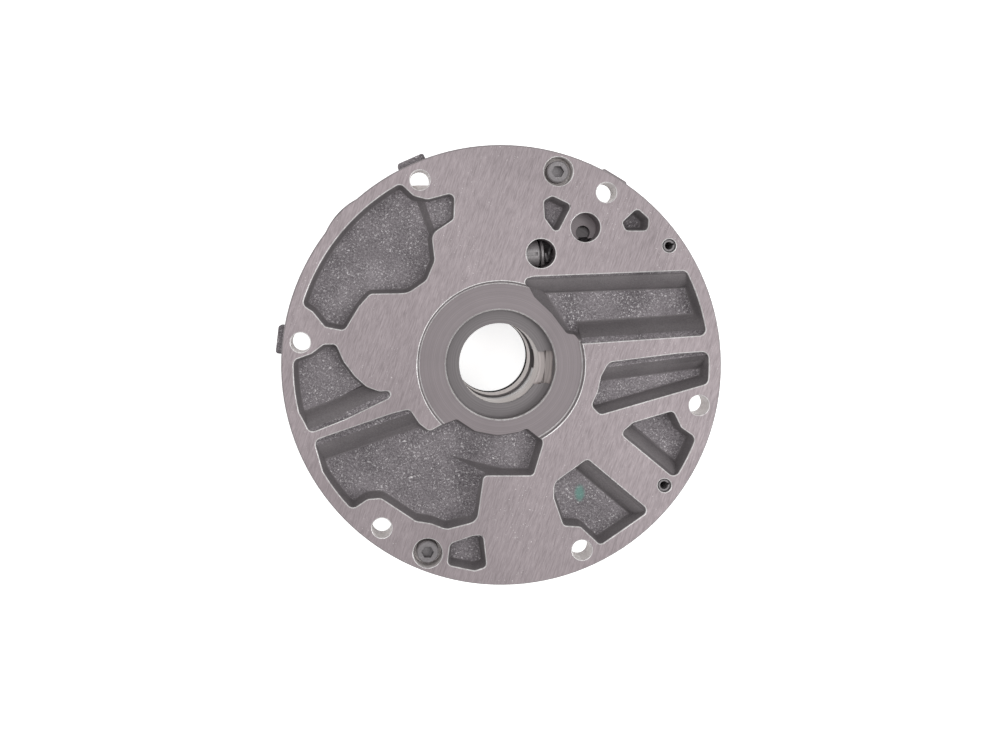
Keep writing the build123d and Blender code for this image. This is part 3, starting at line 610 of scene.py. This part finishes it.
valveCastingLook = {
    "burr": 0.4,  # break along the edges of the face, painted bright as a highlight
    "faceRadius": 98.8,  # edges farther out belong to the rim
    "floorRound": 0.7,  # corner between a channel's floor and its wall
    "channelDepth": 8.5,
    "channelStart": 23.5,  # edges nearer the axis belong to the bore
    "edgeTurn": 25,  # degrees past which an edge is broken
    "recessRadius": 37.5,
    "recessDepth": 1.8,
    "recessFoot": 0.55,  # chamfer where the recess wall meets its floor, painted bright as a highlight
    "recessSlack": 0.1,
    "recessTurn": 60,
    "ports": ((18.11, 50.62), (38.35, 62.46)),
    "screwCircle": 91.7,
    "screwAngles": (73.5, 248.7),
    # how far each finish reaches, from the axis or its hole's middle, and below the face
    "zones": {
        "recessShadeLine": (36.9, 38.1),
        "recessShadeLineFoot": 0.5,
        "ledgeHighlight": (24.7, 25.6),
        "ledgeHighlightTilt": (0.3, 0.95),
        "notchAcross": (16.0, 25.4),
        "notchAlong": (-9.6, 6.4),
        "notchTop": 7.0,
        "notchStart": 18.4,
        "bore": 25.5,
        "boreTop": 3.0,
        "recess": 37.9,
        "recessFoot": 2.5,
        "bolt": 4.9,
        "screw": 7.0,
        "port": 7.05,
        "portFoot": 10.2,
        "rim": (99.2, 100.8),
        "rimFoot": 11.0,
        "channelFoot": 9.0,
        "levelUp": 0.9,
    },
    # convex forms, each by its corners, that run a little way into the walls and the floor
    "forms": {
        "suctionRamp": (
            (-24.6, -41.8, 8.5), (-24.6, -41.8, 9.5), (-14.0, -80.0, 8.5), (-14.0, -80.0, 9.5),
            (-2.0, -80.0, 4.3), (-2.0, -80.0, 9.5), (-8.9, -48.8, 3.7), (-0.5, -52.4, 1.1),
            (4.0, -54.0, 1.1), (6.5, -50.0, 8.5), (6.5, -50.0, 9.5),
        ),
        "fingerFloor": (
            (-31.5, 57.0, 8.5), (-35.5, 67.0, 8.5), (-41.0, 82.0, 8.5), (-31.5, 57.0, 9.5),
            (-41.0, 82.0, 9.5), (-28.2, 57.0, 5.2), (-32.0, 68.0, 5.2), (-37.4, 82.0, 5.2),
            (-18.0, 57.0, 4.6), (-18.0, 82.0, 4.6), (-18.0, 57.0, 9.5), (-18.0, 82.0, 9.5),
        ),
        "pressureShoulder": (
            (18.0, 38.0, 8.5), (30.6, 18.4, 8.5), (33.4, 13.0, 8.5), (18.0, 38.0, 9.5),
            (30.6, 18.4, 9.5), (33.4, 13.0, 9.5), (9.5, 36.6, 2.2), (13.6, 30.2, 2.2),
            (22.2, 22.4, 2.2), (28.8, 12.9, 2.2), (7.0, 34.0, 2.2), (7.0, 34.0, 9.5),
            (27.0, 11.0, 2.2), (27.0, 11.0, 9.5),
        ),
        "notchFloor": (
            (20.8, -9.0, 9.0), (24.0, -9.2, 9.0), (25.1, 5.7, 9.0), (21.8, 5.9, 9.0),
            (20.8, -9.0, 11.5), (24.0, -9.2, 11.5), (25.1, 5.7, 11.5), (21.8, 5.9, 11.5),
        ),
    },
    # banks over the drillings: where the wall starts and ends, and their width at the floor
    "banks": (
        ((36.9, 9.65), (98.0, 13.8), 9.5),
        ((97.0, 7.4), (42.5, 0.4), 9.0),
        ((-74.0, -26.2), (-45.0, -12.1), 9.3),
    ),
    # a bank's section: share of its width, and depth
    "bankProfile": (
        (-0.05, 0.5), (0.27, 1.75), (0.55, 3.56), (0.8, 5.9), (1.0, 8.5), (1.0, 9.5), (-0.25, 9.5),
    ),
    # the inner lip of the bore's ledge, open where the drain notch passes
    "lip": {
        "radius": 18.6,
        "outerRadius": 21.3,
        "top": 6.6,
        "foot": 9.4,
        "gapAcross": (15.0, 22.5),
        "gapAlong": (-9.5, 5.5),
        "gapDepth": (5.0, 9.0),
    },
    # the floor of the blind port, with its hole; the valve's drilling runs through below it
    "portFloor": {
        "at": (38.35, 62.46),
        "radius": 6.9,
        "top": 10.0,
        "foot": 17.0,
        "hole": (38.98, 60.43),
        "holeRadius": 3.25,
        "holeFoot": 15.5,
        "drillingAt": (38.4, 51.85, 13.0),
        "drillingAngle": 3.5,
        "drillingRadius": 6.5,
        "drillingLength": 40.0,
    },
}


def lipOf(look):
    lip = postOf((0, 0), look["outerRadius"], look["top"], look["foot"])
    bore = postOf((0, 0), look["radius"], look["top"] - overrun, look["foot"] + overrun)
    gap = hullOf([
        (x, y, below)
        for below in look["gapDepth"] for x in look["gapAcross"] for y in look["gapAlong"]
    ])
    return combined(combined(lip, bore, "DIFFERENCE"), gap, "DIFFERENCE")


def portFloorOf(look):
    floor = postOf(look["at"], look["radius"], look["top"], look["foot"])
    drilling = rodOf(look["drillingRadius"], look["drillingLength"])
    bmesh.ops.rotate(drilling, verts=drilling.verts, matrix=Matrix.Rotation(radians(90), 3, "Y"))
    layOnLine(drilling, look["drillingAngle"], look["drillingAt"])
    hole = postOf(look["hole"], look["holeRadius"], look["top"] - overrun, look["holeFoot"])
    return combined(combined(floor, drilling, "DIFFERENCE"), hole, "DIFFERENCE")


def addCastForms(sheet):
    look = valveCastingLook
    forms = [hullOf(corners) for corners in look["forms"].values()]
    forms += [bankOf(start, end, width, look["bankProfile"]) for start, end, width in look["banks"]]
    forms += [lipOf(look["lip"]), portFloorOf(look["portFloor"])]
    for form in forms:
        sheet = combined(sheet, form, "UNION")
    return joined(sheet)


def between(value, limits):
    return limits[0] < value < limits[1]


def valveCastingFinish(face, paintedLightBreaks, holes):
    # the finish of one polygon, from where it lies and how it faces
    zones = valveCastingLook["zones"]
    middle = face.calc_center_median() / mm
    away = middle.xy.length
    below = faceHeight / mm - middle.z
    up = face.normal.z

    def inHole(kind):
        return any((middle.xy - at).length < zones[kind] for at in holes[kind])

    inNotch = (
        between(middle.x, zones["notchAcross"]) and between(middle.y, zones["notchAlong"])
        and below > zones["notchTop"] and away > zones["notchStart"]
    )
    # broken edges take the painted highlight, except on the recess's top edge, which takes a painted shade
    # line
    if face in paintedLightBreaks:
        # the break on the recess's top edge is painted dark as a shade line
        onShadeLine = between(away, zones["recessShadeLine"]) and below < zones["recessShadeLineFoot"]
        return "shadedTurned" if onShadeLine else "edge"
    # the tilted edge of the ledge, painted bright as a highlight
    if between(away, zones["ledgeHighlight"]) and between(up, zones["ledgeHighlightTilt"]):
        return "edge"
    if inNotch:
        return "lining"
    # deep in the bore the faces take the painted shade
    if away < zones["bore"] and below > zones["boreTop"]:
        return "shadedTurned"
    if below < levelSlack and up > zones["levelUp"]:
        return "face"
    if away < zones["recess"] and below < zones["recessFoot"]:
        return "turned"
    # bolt holes and screw seats take the painted light
    if inHole("bolt") or inHole("screw"):
        return "litHoleWall"
    # deeper down, a port's wall takes the painted shade
    if inHole("port"):
        return "turned" if below < zones["portFoot"] else "shadedTurned"
    if between(away, zones["rim"]) and below < zones["rimFoot"]:
        return "turned"
    if below < zones["channelFoot"] and up <= zones["levelUp"]:
        return "wall"
    return "cast"


def buildValveCasting():
    look = valveCastingLook
    sheet = addCastForms(mergedCopy("valve_housing"))
    floorEdges = [
        edge for edge in edgesAt(sheet, look["channelDepth"], look["edgeTurn"])
        if awayOf(edge.verts[0]) > look["channelStart"]
    ]
    breakEdges(sheet, floorEdges, look["floorRound"], 3)
    faceEdges = [
        edge for edge in edgesAt(sheet, 0, look["edgeTurn"])
        if awayOf(edge.verts[0]) < look["faceRadius"]
    ]
    paintedLightBreaks = set(breakEdges(sheet, faceEdges, look["burr"], 2))
    footEdges = [
        edge for edge in edgesAt(sheet, look["recessDepth"], look["recessTurn"])
        if all(abs(awayOf(vert) - look["recessRadius"]) < look["recessSlack"] for vert in edge.verts)
    ]
    paintedLightBreaks |= set(breakEdges(sheet, footEdges, look["recessFoot"], 1))
    holes = {
        "port": [Vector(place) for place in look["ports"]],
        "screw": [
            Vector((cos(radians(angle)), sin(radians(angle)))) * look["screwCircle"]
            for angle in look["screwAngles"]
        ],
        "bolt": [
            Vector(mount["pos_m"][:2]) / mm
            for mount in frame["record"]["mounts"] if mount["name"].startswith("bolt")
        ],
    }
    keys = ["face", "edge", "cast", "wall", "turned", "shadedTurned", "litHoleWall", "lining"]
    for face in sheet.faces:
        face.material_index = keys.index(valveCastingFinish(face, paintedLightBreaks, holes))
    return finishPiece(sheet, "valve_casting", keys, "housing", "valve_housing")


# the gear casting behind it, a closed copy of its node with its outer edges rounded

gearCastingLook = {
    "edgeRound": 0.9,
    "edgeTurn": 35,  # degrees past which an edge is rounded
    "seamClear": 1.0,  # edges nearer the seam stay sharp
    "pocketFoot": 12.5,  # so do those above this depth from the seam,
    "pocketWall": 66.0,  # unless they lie farther out than this
    "sealSeat": 27.0,
    "machinedSlack": 0.1,
}


def buildGearCasting():
    look = gearCastingLook
    sheet = mergedCopy("gear_housing")
    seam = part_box("gear_housing")[1].z

    def isOuter(vert):
        depth = (seam - vert.co.z) / mm
        offPocket = depth > look["pocketFoot"] or awayOf(vert) > look["pocketWall"]
        return depth > look["seamClear"] and awayOf(vert) > look["sealSeat"] and offPocket

    outer = [
        edge for edge in sheet.edges
        if edge.calc_face_angle(0.0) > radians(look["edgeTurn"]) and all(map(isOuter, edge.verts))
    ]
    breakEdges(sheet, outer, look["edgeRound"], 3)
    keys = ["cast", "turned", "shadedTurned"]
    slack = look["machinedSlack"] * mm
    for face in sheet.faces:
        middle = face.calc_center_median()
        machined = abs(middle.z - seam) < slack or abs(middle.z - benchHeight) < slack
        inside = middle.xy.length < look["sealSeat"] * mm
        # faces inside the seal seat take the painted shade
        face.material_index = 1 if machined else 2 if inside else 0
    return finishPiece(sheet, "gear_casting", keys, "housing", "gear_housing")


# the regulator's spool, whose lands show in the open port

spoolLook = {
    "pinAt": (76.33, 54.17, 13.0),  # where the valve's line starts
    "line": 3.5,  # its angle in degrees
    "start": -80.0,  # the spool's inner end, along the line
    "steps": (  # length and radius, inner end first
        (2.0, 2.95), (8.0, 6.44), (5.0, 3.45), (7.0, 6.44), (0.9, 4.2), (1.2, 6.44),
    ),
    "edge": 0.2,
    "slotFrom": -64.2,
    "slotTo": -58.8,
    "slotWidth": 1.5,
    "slotDepth": 1.5,
}


def buildSpool():
    look = spoolLook
    sheet = bmesh.new()
    at = look["start"]
    edge = look["edge"]
    profile = []
    for length, radius in look["steps"]:
        profile += [(at, radius - edge), (at + edge, radius)]
        at += length
        profile += [(at - edge, radius), (at, radius - edge)]
    verts = [sheet.verts.new((x * mm, 0, z * mm)) for x, z in profile]
    edges = [sheet.edges.new(pair) for pair in zip(verts, verts[1:])]
    bmesh.ops.spin(
        sheet, geom=verts + edges, cent=(0, 0, 0), axis=(1, 0, 0), dvec=(0, 0, 0),
        angle=radians(360), steps=roundSides, use_merge=True,
    )
    bmesh.ops.remove_doubles(sheet, verts=sheet.verts, dist=fineWeld * mm)
    bmesh.ops.holes_fill(sheet, edges=sheet.edges, sides=0)
    bmesh.ops.recalc_face_normals(sheet, faces=sheet.faces)
    length = look["slotTo"] - look["slotFrom"]
    middle = (look["slotTo"] + look["slotFrom"]) / 2
    top = max(radius for _, radius in look["steps"])
    slot = bmesh.new()
    bmesh.ops.create_cube(slot, size=1)
    size = (length * mm, look["slotWidth"] * mm, 2 * look["slotDepth"] * mm)
    bmesh.ops.scale(slot, verts=slot.verts, vec=size)
    bmesh.ops.translate(slot, verts=slot.verts, vec=(middle * mm, 0, top * mm))
    sheet = combined(sheet, slot, "DIFFERENCE")
    layOnLine(sheet, look["line"], look["pinAt"])
    return finishPiece(sheet, "valve_spool", ["spool"], "regulator_spool", "regulator_spool")


# each valve's spring: the joint that closes it up, the angle of its line and the travel

springLook = {
    "regulator_spring": {"joint": "regulator_slide", "line": 3.5, "travel": 8.0},
    "relief_spring": {"joint": "relief_slide", "line": -39.3, "travel": 6.0},
}


def buildSprings():
    for name, look in springLook.items():
        sheet = bmesh.new()
        sheet.from_mesh(nodes[name].data)
        bmesh.ops.remove_doubles(sheet, verts=sheet.verts, dist=fineWeld * mm)
        coils = finishPiece(sheet, name + "_coils", ["spring"], "housing", name)
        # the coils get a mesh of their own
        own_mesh(coils)


buildValveCasting()
print("valve casting built")
buildGearCasting()
print("gear casting built")
buildSpool()
buildSprings()
print("valve spool and springs built")


# finishes of the pieces shown as they are

plainPieces = {
    "gear": ("drive_gear", "ring_gear", "dowel_pins"),
    "bronze": ("front_bushing", "hub_bushing"),
    "plated": ("seal_case", "gallery_plugs"),
    "rubber": ("seal_lip", "regulator_plug_seal", "relief_plug_seal"),
    "spring": ("garter_spring",),
    "blackened": ("cap_screws", "regulator_pin", "relief_pin"),
    "spool": ("relief_spool", "regulator_plug", "relief_plug"),
}
for finish, names in plainPieces.items():
    for name in names:
        nodes[name].data.materials.clear()
        nodes[name].data.materials.append(finishes[finish])
print("finishes assigned")


# bench, light and camera, in metres

benchLook = {
    "size": 4.0,
    "colour": (0.86, 0.86, 0.86),
    "roughness": 0.9,
    "shine": 0.1,
    "seenGlow": 0.75,  # what the camera and reflections see of its own light
}


def buildBench():
    sheet = bmesh.new()
    bmesh.ops.create_grid(sheet, x_segments=1, y_segments=1, size=benchLook["size"] / 2)
    bmesh.ops.translate(sheet, verts=sheet.verts, vec=(0, 0, benchHeight))
    mesh = bpy.data.meshes.new("bench")
    sheet.to_mesh(mesh)
    sheet.free()
    bench = bpy.data.objects.new("bench", mesh)
    bpy.context.scene.collection.objects.link(bench)
    material, tree, shader, _ = newFinish("white bench", roughness=benchLook["roughness"])
    shader.inputs["Base Color"].default_value = (*benchLook["colour"], 1)
    shader.inputs["Specular IOR Level"].default_value = benchLook["shine"]
    path = tree.nodes.new("ShaderNodeLightPath")
    seen = mathNode(tree, "MAXIMUM", path.outputs["Is Camera Ray"], path.outputs["Is Glossy Ray"])
    seen = mathNode(tree, "MAXIMUM", seen, path.outputs["Is Transmission Ray"])
    shader.inputs["Emission Color"].default_value = (1, 1, 1, 1)
    glow = mathNode(tree, "MULTIPLY", seen, benchLook["seenGlow"])
    tree.links.new(glow, shader.inputs["Emission Strength"])
    mesh.materials.append(material)


roomLook = {"strength": 0.55, "seenStrength": 1.0, "colour": (1.0, 0.995, 0.99)}


def buildRoom():
    world = bpy.data.worlds.new("studio")
    bpy.context.scene.world = world
    world.use_nodes = True
    tree = world.node_tree
    background = tree.nodes["Background"]
    background.inputs["Color"].default_value = (*roomLook["colour"], 1)
    path = tree.nodes.new("ShaderNodeLightPath")
    seen = mathNode(tree, "MAXIMUM", path.outputs["Is Camera Ray"], path.outputs["Is Transmission Ray"])
    strength = rangeNode(tree, seen, 0.0, 1.0, roomLook["strength"], roomLook["seenStrength"])
    tree.links.new(strength, background.inputs["Strength"])


lampLook = {
    "overhead": {"at": (-0.25, 0.35, 1.3), "size": 0.9, "power": 5.0},
    "right": {"at": (0.75, -0.2, 1.1), "size": 0.6, "power": 5.5},
}


def buildLamps():
    for name, look in lampLook.items():
        light = bpy.data.lights.new(name, "AREA")
        light.energy = look["power"]
        light.size = look["size"]
        lamp = bpy.data.objects.new(name, light)
        lamp.location = look["at"]
        towardsFace = Vector((0, 0, faceHeight)) - lamp.location
        lamp.rotation_euler = towardsFace.to_track_quat("-Z", "Y").to_euler()
        bpy.context.scene.collection.objects.link(lamp)


cameraLook = {
    "height": 453 * mm,  # above the mating face, looking straight down
    "aside": (-53.2 * mm, 45.4 * mm),
    "lens": 35.93,
    "sensor": 36.0,
    "shift": (0.116, -0.110),
    "nearest": 0.01,
}


def buildCamera():
    lens = bpy.data.cameras.new("camera")
    lens.sensor_width = cameraLook["sensor"]
    lens.sensor_fit = "HORIZONTAL"
    lens.lens = cameraLook["lens"]
    lens.shift_x, lens.shift_y = cameraLook["shift"]
    lens.clip_start = cameraLook["nearest"]
    camera = bpy.data.objects.new("camera", lens)
    camera.location = (*cameraLook["aside"], faceHeight + cameraLook["height"])
    bpy.context.scene.collection.objects.link(camera)
    bpy.context.scene.camera = camera


buildBench()
buildRoom()
buildLamps()
buildCamera()
bpy.context.scene.view_settings.view_transform = "Standard"
print("bench, light and camera set")
